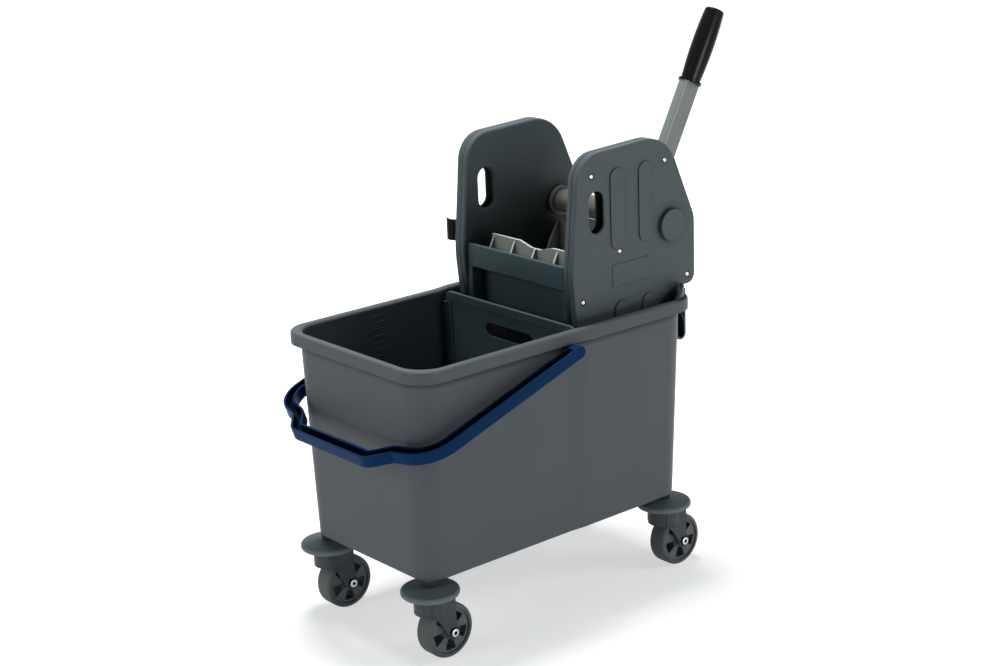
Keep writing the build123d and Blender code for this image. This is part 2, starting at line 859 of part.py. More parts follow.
# Cover: outer shell of the cheek with a round boss, raised ribs and a plain raised panel with sloped sides.
with BuildPart() as right_cover:
    with BuildSketch(Plane.YZ.offset(cheek_outer)):
        cheek_outline()
        hand_slot()
    extrude(amount=cover_outer - cheek_outer)
    fillet(right_cover.faces().sort_by(Axis.X)[-1].edges(), cover_edge)
    chamfer(right_cover.faces().sort_by(Axis.X)[0].outer_wire().edges(), seam_chamfer)
    with BuildSketch(Plane.YZ.offset(cover_outer - bury)):
        for rib_y, rib_z, rib_length in upper_ribs + lower_ribs:
            with Locations((rib_y, rib_z)):
                SlotOverall(rib_length, rib_width, rotation=90)
    extrude(amount=rib_height + bury)
    with BuildSketch(Plane.YZ.offset(cover_outer)):
        with Locations((lever_axis_y, lever_axis_z)):
            Circle(boss_radius)
    extrude(amount=boss_height)
    fillet(right_cover.edges().group_by(Axis.X)[-1], boss_edge)
    with BuildSketch(Plane.YZ.offset(cover_outer)):
        with Locations((badge_y, badge_z)):
            RectangleRounded(badge_length, badge_height, badge_corner)
    extrude(amount=badge_rise, taper=badge_slope)
    with BuildSketch(Plane.YZ.offset(cheek_outer)):
        hollow_outline()
    extrude(amount=cover_outer - cover_skin - cheek_outer, mode=Mode.SUBTRACT)
    with BuildSketch(Plane.YZ.offset(cover_outer - cover_skin)):
        with Locations((lever_axis_y, lever_axis_z)):
            Circle(boss_radius - shell_edge)
    extrude(amount=boss_hollow, mode=Mode.SUBTRACT)
    with BuildSketch(Plane.YZ.offset(cheek_outer)):
        with Locations(*screw_points):
            Circle(screw_radius + running_fit)
    extrude(amount=cover_outer - cheek_outer + rib_height, mode=Mode.SUBTRACT)
    with BuildSketch(Plane.YZ.offset(cover_outer - screw_recess)):
        with Locations(*screw_points):
            Circle(screw_head_radius + screw_recess_gap)
    extrude(amount=screw_recess + rib_height, mode=Mode.SUBTRACT)
save(right_cover, "right_cover")

with BuildPart() as left_cover:
    mirror(right_cover.part, about=Plane.YZ)
save(left_cover, "left_cover")

# Dome-head screws that hold the cover on the cheek.
with BuildPart() as right_cover_screws:
    head_seat = cover_outer - screw_recess
    with BuildSketch(Plane.YZ.offset(screw_tip)):
        with Locations(*screw_points):
            Circle(screw_radius)
    extrude(amount=head_seat - screw_tip)
    with BuildSketch(Plane.YZ.offset(head_seat)):
        with Locations(*screw_points):
            Circle(screw_head_radius)
    extrude(amount=screw_head_height)
    fillet(right_cover_screws.edges().group_by(Axis.X)[-1], screw_dome)
save(right_cover_screws, "right_cover_screws")

with BuildPart() as left_cover_screws:
    mirror(right_cover_screws.part, about=Plane.YZ)
save(left_cover_screws, "left_cover_screws")

# Front frame: bar, side flanges and recessed panel between the cheeks.
with BuildPart() as front_frame:
    with BuildSketch(Plane.YZ):
        with BuildLine():
            FilletPolyline(
                (bar_front, bar_bottom),
                (bar_front, bar_top),
                (bar_back, bar_top),
                (bar_back, bar_bottom),
                radius=(bar_edge, bar_edge, bar_edge, 0),
                close=True,
            )
        make_face()
        with BuildLine():
            FilletPolyline(
                (bar_front + bar_edge, bar_bottom),
                (bar_front + bar_edge, bar_bottom + panel_web),
                (panel_back, bar_bottom + panel_web),
                (panel_back, cheek_bottom + frame_foot_gap),
                (panel_front, cheek_bottom + frame_foot_gap),
                (panel_front, bar_bottom),
                radius=0,
                close=True,
            )
        make_face()
    extrude(amount=cheek_inner, both=True)
    for side in (1, -1):
        with BuildSketch(Plane.XY.offset(cheek_bottom + frame_foot_gap)):
            with Locations((side * (cheek_inner - frame_flange / 2), (bar_front + panel_front) / 2)):
                Rectangle(frame_flange, panel_front - bar_front)
        extrude(amount=bar_bottom - cheek_bottom - frame_foot_gap)
save(front_frame, "front_frame")

# Rear seat bar: an upside-down trough between the cheeks that rests on the rear rim and ledge.
with BuildPart() as rear_bar:
    bar_middle = (rear_bar_front + rear_bar_back) / 2
    with BuildSketch(Plane.XY.offset(rim_top)):
        with Locations((0, bar_middle)):
            Rectangle(2 * cheek_inner, rear_bar_back - rear_bar_front)
    extrude(amount=rear_bar_top - rim_top)
    fillet(rear_bar.edges().group_by(Axis.Z)[-1].filter_by(Axis.X), rear_bar_edge)
    with BuildSketch(Plane.XY.offset(rim_top)):
        with Locations((0, bar_middle)):
            Rectangle(
                2 * (cheek_inner - rear_bar_skin),
                rear_bar_back - rear_bar_front - 2 * rear_bar_skin,
            )
    extrude(amount=rear_bar_top - rim_top - rear_bar_skin, mode=Mode.SUBTRACT)
save(rear_bar, "rear_bar")

# Fixed press plate: upright at the top, slanting to the rear below, with gussets and drain slots.
rib_span = rib_pitch * (rib_count - 1)
rib_offsets = [index * rib_pitch - rib_span / 2 for index in range(rib_count)]
plate_lean = math.atan2(plate_foot_y - plate_face, plate_knee_z - plate_foot_z)
plate_shift = plate_thickness * math.tan(plate_lean / 2)
with BuildPart() as front_press_plate:
    foot_dy = plate_thickness * math.cos(plate_lean)
    foot_dz = plate_thickness * math.sin(plate_lean)
    with BuildSketch(Plane.YZ):
        with BuildLine():
            Polyline(
                (plate_face, plate_top),
                (plate_face, plate_knee_z),
                (plate_foot_y, plate_foot_z),
                (plate_foot_y - foot_dy, plate_foot_z - foot_dz),
                (plate_face - plate_thickness, plate_knee_z - plate_shift),
                (plate_face - plate_thickness, plate_top),
                close=True,
            )
        make_face()
    extrude(amount=plate_half_width, both=True)
    for rib_x in rib_offsets:
        with BuildSketch(Plane.YZ.offset(rib_x - rib_thickness / 2)):
            with BuildLine():
                Polyline(
                    (plate_face - bury, plate_top - plate_rib_start),
                    (plate_face - plate_thickness, plate_top - plate_rib_start),
                    (panel_back, bar_top - plate_rib_drop),
                    (panel_back, plate_knee_z - plate_rib_foot),
                    (plate_face + plate_rib_reach, plate_foot_z + plate_rib_rise),
                    (plate_face - bury, plate_knee_z),
                    close=True,
                )
            make_face()
        extrude(amount=rib_thickness)
    with BuildSketch(Plane.XZ.offset(-plate_face)):
        with BuildLine():
            Polyline(
                (-plate_dip_half, plate_top),
                (-plate_dip_flat, plate_top - plate_dip_depth),
                (plate_dip_flat, plate_top - plate_dip_depth),
                (plate_dip_half, plate_top),
                close=True,
            )
        make_face()
    extrude(amount=2 * plate_thickness, both=True, mode=Mode.SUBTRACT)
    slant_plane = Plane(
        origin=(0, plate_face, plate_knee_z),
        x_dir=(1, 0, 0),
        z_dir=(0, math.cos(plate_lean), math.sin(plate_lean)),
    )
    slant_length = math.hypot(plate_foot_y - plate_face, plate_knee_z - plate_foot_z)
    with BuildSketch(slant_plane):
        with Locations((0, -slant_length / 2)):
            with GridLocations(drain_pitch, 1, drain_count, 1):
                SlotOverall(drain_length, drain_width, rotation=90)
    extrude(amount=-plate_thickness, mode=Mode.SUBTRACT)
save(front_press_plate, "front_press_plate")


def involute(angle):
    return math.tan(angle) - angle


def gear_tooth(teeth):
    pitch_radius = gear_module * teeth / 2
    base_radius = pitch_radius * math.cos(math.radians(pressure_angle))
    tip_radius = pitch_radius + addendum * gear_module
    root_radius = pitch_radius - dedendum * gear_module
    half_pitch = math.pi / (2 * teeth) - tooth_thinning / (2 * pitch_radius)
    at_base = half_pitch + involute(math.radians(pressure_angle))
    flank = []
    flank_start = max(base_radius, root_radius)
    for share in (0, 0.5, 1):
        radius = flank_start + share * (tip_radius - flank_start)
        half = at_base - involute(math.acos(min(1, base_radius / radius)))
        flank.append((radius * math.cos(half), radius * math.sin(half)))
    foot = root_radius - bury
    foot_half = math.atan2(flank[0][1], flank[0][0])
    foot_point = (foot * math.cos(foot_half), foot * math.sin(foot_half))
    with BuildLine() as outline:
        Line((foot_point[0], -foot_point[1]), (flank[0][0], -flank[0][1]))
        ThreePointArc(*[(x, -y) for x, y in flank])
        ThreePointArc((flank[2][0], -flank[2][1]), (tip_radius, 0), flank[2])
        ThreePointArc(*reversed(flank))
        Line(flank[0], foot_point)
        Line(foot_point, (foot_point[0], -foot_point[1]))
    make_face(outline.edges())


def toothed_sector(teeth, first_tooth, tooth_count, web_from, web_to):
    root_radius = gear_module * teeth / 2 - dedendum * gear_module
    web_middle = math.radians((web_from + web_to) / 2)
    start = math.radians(web_from)
    end = math.radians(web_to)
    with BuildLine() as outline:
        Line((0, 0), (root_radius * math.cos(start), root_radius * math.sin(start)))
        ThreePointArc(
            (root_radius * math.cos(start), root_radius * math.sin(start)),
            (root_radius * math.cos(web_middle), root_radius * math.sin(web_middle)),
            (root_radius * math.cos(end), root_radius * math.sin(end)),
        )
        Line((root_radius * math.cos(end), root_radius * math.sin(end)), (0, 0))
    make_face(outline.edges())
    with BuildSketch(mode=Mode.PRIVATE) as tooth:
        gear_tooth(teeth)
    pitch = 360 / teeth
    with PolarLocations(0, tooth_count, start_angle=first_tooth, angular_range=tooth_count * pitch):
        add(tooth.sketch)


# Toothed segment on the press shaft: a tooth lies on the line of centres at rest.
lever_gear_plane = Plane(
    origin=(gear_start, lever_axis_y, lever_axis_z), x_dir=(0, 1, 0), z_dir=(1, 0, 0)
)
lever_pitch = 360 / lever_teeth
with BuildPart() as right_lever_gear:
    with BuildSketch(lever_gear_plane):
        toothed_sector(
            lever_teeth,
            mesh_angle + 180 - lever_pitch,
            lever_gear_teeth,
            mesh_angle + 180 - lever_pitch * 1.3,
            mesh_angle + 180 + lever_pitch * (lever_gear_teeth - 1.7),
        )
        Circle(lever_gear_hub)
        Circle(shaft_radius + push_fit, mode=Mode.SUBTRACT)
    extrude(amount=gear_width)
save(right_lever_gear, "right_lever_gear")

with BuildPart() as left_lever_gear:
    mirror(right_lever_gear.part, about=Plane.YZ)
save(left_lever_gear, "left_lever_gear")

# Toothed sector of the jaw: a space lies on the line of centres at rest.
jaw_gear_plane = Plane(origin=(gear_start, jaw_axis_y, jaw_axis_z), x_dir=(0, 1, 0), z_dir=(1, 0, 0))
jaw_pitch = 360 / jaw_teeth
with BuildPart() as right_jaw_gear:
    with BuildSketch(jaw_gear_plane):
        toothed_sector(
            jaw_teeth,
            mesh_angle - jaw_pitch * (jaw_gear_teeth - 2.5),
            jaw_gear_teeth,
            mesh_angle - jaw_pitch * (jaw_gear_teeth - 2.3),
            mesh_angle + jaw_pitch * 1.8,
        )
        with BuildLine():
            root = gear_module * jaw_teeth / 2 - dedendum * gear_module - jaw_web_rim
            web_low = mesh_angle - jaw_pitch * (jaw_gear_teeth - 2.3)
            web_cut = mesh_angle - jaw_pitch * (jaw_gear_teeth - 3.2)
            Polyline(
                (jaw_gear_hub, 0),
                (root * math.cos(math.radians(web_low)), root * math.sin(math.radians(web_low))),
                (root * math.cos(math.radians(web_cut)), root * math.sin(math.radians(web_cut))),
                (0, 0),
                close=True,
            )
        make_face(mode=Mode.SUBTRACT)
        Circle(jaw_gear_hub)
        Circle(jaw_shaft_radius + push_fit, mode=Mode.SUBTRACT)
    extrude(amount=gear_width)
save(right_jaw_gear, "right_jaw_gear")

with BuildPart() as left_jaw_gear:
    mirror(right_jaw_gear.part, about=Plane.YZ)
save(left_jaw_gear, "left_jaw_gear")

# Press shaft with a flanged bush in each cheek.
shaft_plane = Plane(origin=(0, lever_axis_y, lever_axis_z), x_dir=(0, 1, 0), z_dir=(1, 0, 0))
with BuildPart() as press_shaft:
    with BuildSketch(shaft_plane):
        Circle(shaft_radius)
    extrude(amount=shaft_half, both=True)
    chamfer(press_shaft.edges(), shaft_chamfer)
save(press_shaft, "press_shaft")

with BuildPart() as right_shaft_bush:
    with BuildSketch(shaft_plane.offset(cheek_inner - bush_flange)):
        Circle(bush_flange_radius)
    extrude(amount=bush_flange)
    with BuildSketch(shaft_plane.offset(cheek_inner)):
        Circle(bush_radius)
    extrude(amount=cheek_floor + bury)
    with BuildSketch(shaft_plane.offset(cheek_inner - bush_flange)):
        Circle(shaft_radius + running_fit)
    extrude(amount=cheek_outer - cheek_inner, mode=Mode.SUBTRACT)
save(right_shaft_bush, "right_shaft_bush")

with BuildPart() as left_shaft_bush:
    mirror(right_shaft_bush.part, about=Plane.YZ)
save(left_shaft_bush, "left_shaft_bush")

# Drum on the press shaft with end flanges and the holder for the lever tube.
lean = math.radians(lever_lean)
lever_plane = Plane(
    origin=(lever_x, lever_axis_y, lever_axis_z),
    x_dir=(1, 0, 0),
    z_dir=(0, math.sin(lean), math.cos(lean)),
)
bolt_plane = Plane(
    origin=(lever_x, lever_axis_y + bolt_reach * math.sin(lean), lever_axis_z + bolt_reach * math.cos(lean)),
    x_dir=(0, 1, 0),
    z_dir=(1, 0, 0),
)
holder_half = tube_width / 2 + holder_wall
with BuildPart() as press_drum:
    with BuildSketch(shaft_plane):
        Circle(drum_radius)
    extrude(amount=flange_end, both=True)
    for side in (1, -1):
        with BuildSketch(shaft_plane.offset(side * drum_half)):
            Circle(flange_radius)
        extrude(amount=side * (flange_end - drum_half))
    with BuildSketch(lever_plane.offset(holder_start)):
        RectangleRounded(2 * holder_half, tube_depth + 2 * holder_wall, holder_round)
    extrude(amount=holder_end - holder_start)
    with BuildSketch(lever_plane.offset(tube_start)):
        RectangleRounded(tube_width + 2 * running_fit, tube_depth + 2 * running_fit, tube_round)
    extrude(amount=holder_end, mode=Mode.SUBTRACT)
    with BuildSketch(bolt_plane):
        Circle(bolt_radius + push_fit)
    extrude(amount=holder_half + bury, both=True, mode=Mode.SUBTRACT)
    with BuildSketch(shaft_plane):
        Circle(shaft_radius + push_fit)
    extrude(amount=shaft_half, both=True, mode=Mode.SUBTRACT)
save(press_drum, "press_drum")

# Lever: rectangular tube, bolted in the holder, with a barrel-shaped grip plugged into its end.
with BuildPart() as lever_tube:
    with BuildSketch(lever_plane.offset(tube_start)):
        RectangleRounded(tube_width, tube_depth, tube_round)
        RectangleRounded(
            tube_width - 2 * tube_wall, tube_depth - 2 * tube_wall, tube_round - tube_wall, mode=Mode.SUBTRACT
        )
    extrude(amount=tube_end - tube_start)
    with BuildSketch(bolt_plane):
        Circle(bolt_radius + push_fit)
    extrude(amount=holder_half, both=True, mode=Mode.SUBTRACT)
save(lever_tube, "lever_tube")

with BuildPart() as lever_bolt:
    with BuildSketch(bolt_plane.offset(-holder_half)):
        Circle(bolt_radius)
    extrude(amount=2 * holder_half)
    for side in (1, -1):
        with BuildSketch(bolt_plane.offset(side * holder_half)):
            RegularPolygon(bolt_head_radius, 6)
        extrude(amount=side * bolt_head)
save(lever_bolt, "lever_bolt")

grip_plane = Plane(
    origin=(lever_x, lever_axis_y, lever_axis_z),
    x_dir=(1, 0, 0),
    z_dir=(0, -math.cos(lean), math.sin(lean)),
)
with BuildPart() as lever_grip:
    with BuildSketch(grip_plane):
        with BuildLine():
            foot_z = tube_end + grip_collar
            Polyline(
                (0, grip_end),
                (0, tube_end),
                (grip_collar_radius, tube_end),
                (grip_collar_radius, foot_z),
                (grip_end_radius, foot_z),
            )
            ThreePointArc(
                (grip_end_radius, foot_z),
                (grip_middle_radius, (foot_z + grip_end) / 2),
                (grip_end_radius, grip_end),
            )
            Line((grip_end_radius, grip_end), (0, grip_end))
        make_face()
    revolve(axis=Axis(lever_plane.origin, lever_plane.z_dir))
    fillet(lever_grip.faces().sort_by(Axis.Z)[-1].edges(), grip_top_edge)
    with BuildSketch(lever_plane.offset(tube_end)):
        plug_inset = tube_wall + plug_gap
        RectangleRounded(tube_width - 2 * plug_inset, tube_depth - 2 * plug_inset, tube_round - tube_wall)
    extrude(amount=-plug_length)
save(lever_grip, "lever_grip")

# Moving jaw: back plate bent forward to its hinge barrel, with wedge ribs on the pressing side.
with BuildPart() as rear_press_jaw:
    barrel_y = jaw_axis_y + jaw_barrel_lead
    with BuildSketch(Plane.YZ):
        with BuildLine():
            Polyline(
                (jaw_back - jaw_skin, jaw_top),
                (jaw_back, jaw_top),
                (jaw_back, jaw_knee_z),
                (barrel_y + jaw_skin, jaw_axis_z - jaw_skin),
                (barrel_y - jaw_skin, jaw_axis_z + jaw_skin),
                (jaw_back - jaw_skin, jaw_knee_z + jaw_skin / 2),
                close=True,
            )
        make_face()
    extrude(amount=jaw_half_width, both=True)
    fillet(rear_press_jaw.edges().group_by(Axis.Z)[-1].filter_by(Axis.X), jaw_skin * edge_share)
    lip_reach = centre_distance - drum_radius - jaw_lip_gap
    lip_front = jaw_back - jaw_skin
    with BuildSketch(Plane.YZ):
        with BuildLine():
            Polyline(
                (lip_front, jaw_knee_z + jaw_skin),
                (jaw_back, jaw_knee_z + jaw_skin),
                (jaw_back, jaw_axis_z + math.sqrt(lip_reach**2 - (jaw_back - jaw_axis_y) ** 2)),
                (lip_front, jaw_axis_z + math.sqrt(lip_reach**2 - (lip_front - jaw_axis_y) ** 2)),
                close=True,
            )
        make_face()
    extrude(amount=jaw_lip_half, both=True)
    for index in range(rib_count):
        rib_x = (index - (rib_count - 1) / 2) * jaw_rib_pitch
        with BuildSketch(Plane.YZ.offset(rib_x - rib_thickness / 2)):
            with BuildLine():
                Polyline(
                    (jaw_back - bury, jaw_top - jaw_rib_drop),
                    (jaw_rib_top_y, jaw_top - jaw_rib_drop),
                    (jaw_rib_y, jaw_rib_z),
                    (jaw_rib_foot_y, jaw_rib_foot_z),
                    (barrel_y, jaw_axis_z),
                    (jaw_back - jaw_skin / 2, jaw_knee_z),
                    close=True,
                )
            make_face()
        extrude(amount=rib_thickness)
    with BuildSketch(Plane.YZ):
        with Locations((jaw_axis_y, jaw_axis_z)):
            Circle(jaw_barrel_radius)
    extrude(amount=jaw_barrel_half, both=True)
    with BuildSketch(Plane.YZ):
        with Locations((jaw_axis_y, jaw_axis_z)):
            Circle(jaw_shaft_radius + push_fit)
    extrude(amount=jaw_barrel_half, both=True, mode=Mode.SUBTRACT)
save(rear_press_jaw, "rear_press_jaw")

with BuildPart() as jaw_shaft:
    with BuildSketch(Plane.YZ):
        with Locations((jaw_axis_y, jaw_axis_z)):
            Circle(jaw_shaft_radius)
    extrude(amount=jaw_shaft_half, both=True)
save(jaw_shaft, "jaw_shaft")

# Return spring: coil round the end of the press shaft, inside the boss of the right cover.
with BuildPart() as return_spring:
    with BuildLine() as coil:
        Helix(
            pitch=spring_pitch,
            height=spring_pitch * spring_turns,
            radius=spring_radius,
            center=(spring_start, lever_axis_y, lever_axis_z),
            direction=(1, 0, 0),
        )
    with BuildSketch(Plane(origin=coil.line @ 0, z_dir=coil.line % 0)):
        Circle(spring_wire)
    sweep(path=coil.line, is_frenet=True)
save(return_spring, "return_spring")

# Handle clip: an open ring on a bracket on the outside of the left cover.
with BuildPart() as clip_bracket:
    bracket_end = clip_x + clip_bore + clip_skin
    with BuildSketch(Plane.YZ.offset(-cover_outer)):
        with Locations((clip_y, clip_bottom + clip_height / 2)):
            RectangleRounded(bracket_width, clip_height + 2 * bracket_margin, bracket_round)
    extrude(amount=cover_outer + bracket_end)
save(clip_bracket, "clip_bracket")

with BuildPart() as handle_clip:
    with BuildSketch(Plane.XY.offset(clip_bottom)):
        with Locations((clip_x, clip_y)):
            Circle(clip_bore + clip_skin)
        with Locations((bracket_end - clip_skin / 2, clip_y)):
            Rectangle(clip_skin, clip_foot_width)
        with Locations((clip_x, clip_y)):
            Circle(clip_bore, mode=Mode.SUBTRACT)
        mouth_half = math.radians(clip_mouth / 2)
        mouth_reach = 2 * clip_bore
        with BuildLine():
            Polyline(
                (clip_x, clip_y),
                (clip_x - mouth_reach * math.cos(mouth_half), clip_y - mouth_reach * math.sin(mouth_half)),
                (clip_x - mouth_reach * math.cos(mouth_half), clip_y + mouth_reach * math.sin(mouth_half)),
                close=True,
            )
        make_face(mode=Mode.SUBTRACT)
    extrude(amount=clip_height)
save(handle_clip, "handle_clip")
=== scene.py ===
import math

import bpy
import numpy as np
from mathutils import Matrix, Vector


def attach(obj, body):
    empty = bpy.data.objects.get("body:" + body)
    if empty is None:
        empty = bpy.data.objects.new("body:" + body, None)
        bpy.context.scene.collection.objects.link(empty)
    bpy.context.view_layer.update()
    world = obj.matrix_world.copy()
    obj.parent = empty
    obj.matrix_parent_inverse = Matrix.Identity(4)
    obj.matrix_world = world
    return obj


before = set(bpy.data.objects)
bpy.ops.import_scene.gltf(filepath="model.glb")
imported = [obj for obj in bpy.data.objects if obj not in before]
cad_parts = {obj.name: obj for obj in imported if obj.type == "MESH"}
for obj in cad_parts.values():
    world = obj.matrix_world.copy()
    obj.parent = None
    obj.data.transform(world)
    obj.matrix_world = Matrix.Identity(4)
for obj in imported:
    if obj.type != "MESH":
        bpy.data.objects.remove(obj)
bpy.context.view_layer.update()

# Tub: one deep injection moulding in slate grey polypropylene with a skirted rim.
# Its walls have a fine spark-eroded grain that scatters the light evenly.


class Signal:
    """A shader value that takes part in arithmetic: each operator adds one Math node.

    The operator | takes the larger of two values.
    """

    def __init__(self, nodes, socket):
        self.nodes = nodes
        self.socket = socket

    def _math(self, operation, first, second):
        return self.nodes.node("ShaderNodeMath", {"operation": operation}, {0: first, 1: second})

    def __add__(self, other):
        return self._math("ADD", self, other)

    def __sub__(self, other):
        return self._math("SUBTRACT", self, other)

    def __rsub__(self, other):
        return self._math("SUBTRACT", other, self)

    def __mul__(self, other):
        return self._math("MULTIPLY", self, other)

    def __pow__(self, other):
        return self._math("POWER", self, other)

    def __rpow__(self, other):
        return self._math("POWER", other, self)

    def __or__(self, other):
        return self._math("MAXIMUM", self, other)

    __radd__ = __add__
    __rmul__ = __mul__
    __ror__ = __or__


class Nodes:
    """A node tree and its shader, whose sockets take constants or links to varied values."""

    def __init__(self, owner, shader, **constants):
        owner.use_nodes = True
        self.tree = owner.node_tree
        self.shader = self.tree.nodes[shader]
        for key, value in constants.items():
            self.shader.inputs[key.replace("_", " ")].default_value = value

    def node(self, kind, settings=None, sockets=None, output=0):
        """One node of any kind, with its settings and what goes into its sockets, as one of its outputs."""
        made = self.tree.nodes.new(kind)
        for key, value in (settings or {}).items():
            setattr(made, key, value)
        for key, value in (sockets or {}).items():
            if isinstance(value, Signal):
                self.tree.links.new(value.socket, made.inputs[key])
            else:
                made.inputs[key].default_value = value
        return Signal(self, made.outputs[output])

    def mix(self, share, first, second):
        """A blend of two colours: the first where the share is 0, the second where it is 1."""
        share_input = 0
        first_input = 6
        second_input = 7
        colour_output = 2
        sockets = {share_input: share}
        for index, tint in ((first_input, first), (second_input, second)):
            sockets[index] = tint if isinstance(tint, Signal) else (*tint, 1.0)
        return self.node("ShaderNodeMix", {"data_type": "RGBA"}, sockets, colour_output)

    def shown(self):
        """1 on rays that show a thing, straight, mirrored or through glass, else 0."""
        rays = ("Is Camera Ray", "Is Glossy Ray", "Is Transmission Ray")
        direct, mirrored, through = (self.node("ShaderNodeLightPath", output=ray) for ray in rays)
        return direct | mirrored | through

    def feed(self, **varied):
        """Links varied values to the shader's sockets."""
        for key, value in varied.items():
            self.tree.links.new(value.socket, self.shader.inputs[key.replace("_", " ")])


class Finish(Nodes):
    """A node material for one kind of surface, with its textures placed by Object coordinates."""

    def __init__(self, name, **constants):
        self.material = bpy.data.materials.new(name)
        super().__init__(self.material, "Principled BSDF", **constants)
        self.place = self.node("ShaderNodeTexCoord", output="Object")

    def noise(self, scale, detail=3.0, fineness=None, turn=(0.0, 0.0, 0.0)):
        """Soft noise. With a fineness for each axis it is drawn out into streaks, turned with the piece."""
        where = self.place
        if fineness is not None:
            stretch = tuple(1.0 / axis for axis in fineness)
            where = self.node(
                "ShaderNodeMapping",
                {"vector_type": "TEXTURE"},
                {"Vector": where, "Rotation": turn, "Scale": stretch},
            )
        return self.node("ShaderNodeTexNoise", {}, {"Vector": where, "Scale": scale, "Detail": detail})

    def between(self, value, low, high):
        """0 below low, 1 above high, a smooth step in between."""
        return self.node(
            "ShaderNodeMapRange",
            {"interpolation_type": "SMOOTHSTEP"},
            {"Value": value, "From Min": low, "From Max": high},
        )

    def painted_shade(self, tint, shade_dark, shade_strength, shade_reach, own):
        """Painted shade: the tint, drawn towards a dark colour where surfaces within a short reach close a
        point in.

        own counts the piece's own surfaces alone, for a piece that moves against its neighbours.
        """
        settings = {"samples": 6, "only_local": own}
        clear = self.node("ShaderNodeAmbientOcclusion", settings, {"Distance": shade_reach}, "AO")
        closed = 1 - clear ** shade_strength
        return self.mix(closed, tint, shade_dark)

    def wear(self, colour, roughness, relief, depth, strength=0.4):
        """Links the surface's colour, its roughness and the bump of its relief to the shader."""
        bump = self.node("ShaderNodeBump", {}, {"Height": relief, "Distance": depth, "Strength": strength})
        self.feed(Base_Color=colour, Roughness=roughness, Normal=bump)

    def dress(self, *names):
        """Makes this the one material of nodes of the frame."""
        for name in names:
            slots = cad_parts[name].data.materials
            slots.clear()
            slots.append(self.material)


def shade(colour, factor):
    """The colour made darker or lighter by one factor for its three channels."""
    return tuple(channel * factor for channel in colour)


def moulded(
    name,
    colour,
    roughness,
    grain=1500.0,
    depth=0.00009,
    mottle=0.07,
    shade_strength=3.0,
    shade_reach=0.015,
    own=True,
    specular=0.1,
):
    """Grained thermoplastic: cloudy colour, painted shade in corners, fine pits, and roughness that follows
    them.

    grain and depth are the pits' fineness and bump, mottle is the spread of the colour, and the next two
    are how strongly and how far from a corner painted shade darkens the colour.
    """
    finish = Finish(name, IOR=1.49, Specular_IOR_Level=specular)
    cloud = finish.noise(scale=11.0, detail=4.0)
    pits = finish.noise(scale=grain, detail=2.0)
    drag = finish.noise(scale=3.0, detail=5.0, fineness=(30.0, 30.0, 4.0))
    cloud_share = 0.7
    pits_share = 0.3
    dark = shade(colour, 1.0 - mottle)
    light = shade(colour, 1.0 + mottle)
    tint = finish.mix(cloud * cloud_share + pits * pits_share, dark, light)
    # Painted shade: where corners close in, the colour darkens towards 15 percent of itself.
    shade_dark = shade(colour, 0.15)
    smoothest = roughness - 0.08
    cloud_dulling = 0.06
    pits_dulling = 0.07
    drag_dulling = 0.05
    finish.wear(
        colour=finish.painted_shade(tint, shade_dark, shade_strength, shade_reach, own),
        roughness=smoothest + cloud * cloud_dulling + pits * pits_dulling + drag * drag_dulling,
        relief=pits,
        depth=depth,
    )
    return finish


slate = (0.083, 0.092, 0.103)
# Painted shade, strong here, darkens the tub under its rim and in its corners; every moulded finish has
# some.
tub_finish = moulded("slate_tub_polypropylene", slate, roughness=0.46, shade_strength=9.0)
tub_finish.dress("tub")

# Level marks: short raised bars moulded on the inside of the left wall of the clean water chamber.
# They are part of the same polypropylene and stand less than a millimetre proud of the wall.
mark_top = 0.391
mark_pitch = 0.0096
mark_count = 10
mark_middle = -0.0895
mark_half_length = 0.0115
mark_half_width = 0.0008
mark_rise = 0.0004
wall_foot_x = 0.125
wall_foot_z = 0.114
wall_lean = 0.040345


def left_wall_inside(z):
    """Inner face of the left wall: it leans outwards in a straight line from floor to rim."""
    return -(wall_foot_x + (z - wall_foot_z) * wall_lean)


def put(name, points, faces, material, body):
    """A smooth mesh from an array of points and a list of faces, riding on a body of the frame."""
    mesh = bpy.data.meshes.new(name)
    mesh.from_pydata(points.reshape(-1, 3).tolist(), [], faces)
    mesh.shade_smooth()
    mesh.materials.append(material)
    piece = bpy.data.objects.new(name, mesh)
    bpy.context.collection.objects.link(piece)
    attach(piece, body)
    return piece


def bar_faces(rings, round_count, start=0):
    """Faces of a closed bar: quads between its rings of points, and one cap on each end ring."""
    ring, step = np.meshgrid(np.arange(rings - 1), np.arange(round_count), indexing="ij")
    following = (step + 1) % round_count
    low = ring * round_count
    high = low + round_count
    quads = np.stack([low + step, high + step, high + following, low + following], -1).reshape(-1, 4)
    first = np.arange(round_count)
    last = (rings - 1) * round_count + first[::-1]
    return [(start + face).tolist() for face in (*quads, first, last)]


# Each bar is a rounded lens: an ellipse round v, carried along u and drawn in at both ends.
bar_rings = 25
bar_round = 16
end_squareness = 6
end_least = 1e-4
u, v = np.meshgrid(
    np.linspace(-1, 1, bar_rings),
    np.linspace(0, 2 * np.pi, bar_round, endpoint=False),
    indexing="ij",
)
swell = np.sqrt(np.clip(1 - np.abs(u) ** end_squareness, end_least, 1))
mark_heights = mark_top - mark_pitch * np.arange(mark_count)
mark_z = mark_heights[:, None, None] + mark_half_width * swell * np.sin(v)
mark_y = mark_middle + mark_half_length * u
mark_x = left_wall_inside(mark_z) + mark_rise * swell * np.cos(v)
marks = np.stack(np.broadcast_arrays(mark_x, mark_y, mark_z), -1)
mark_faces = [
    face for mark in range(mark_count) for face in bar_faces(bar_rings, bar_round, start=mark * u.size)
]
level_marks = put("level_marks", marks, mark_faces, tub_finish.material, "tub_body")

# Divider: a lift-out plate of the same polypropylene that parts the clean water from the dirty.
# It slides down between two rails and has a slot to lift it by.
divider_plastic = moulded(
    "divider_polypropylene", colour=(0.055, 0.084, 0.093), roughness=0.5, grain=1300.0
)
divider_plastic.dress("divider")

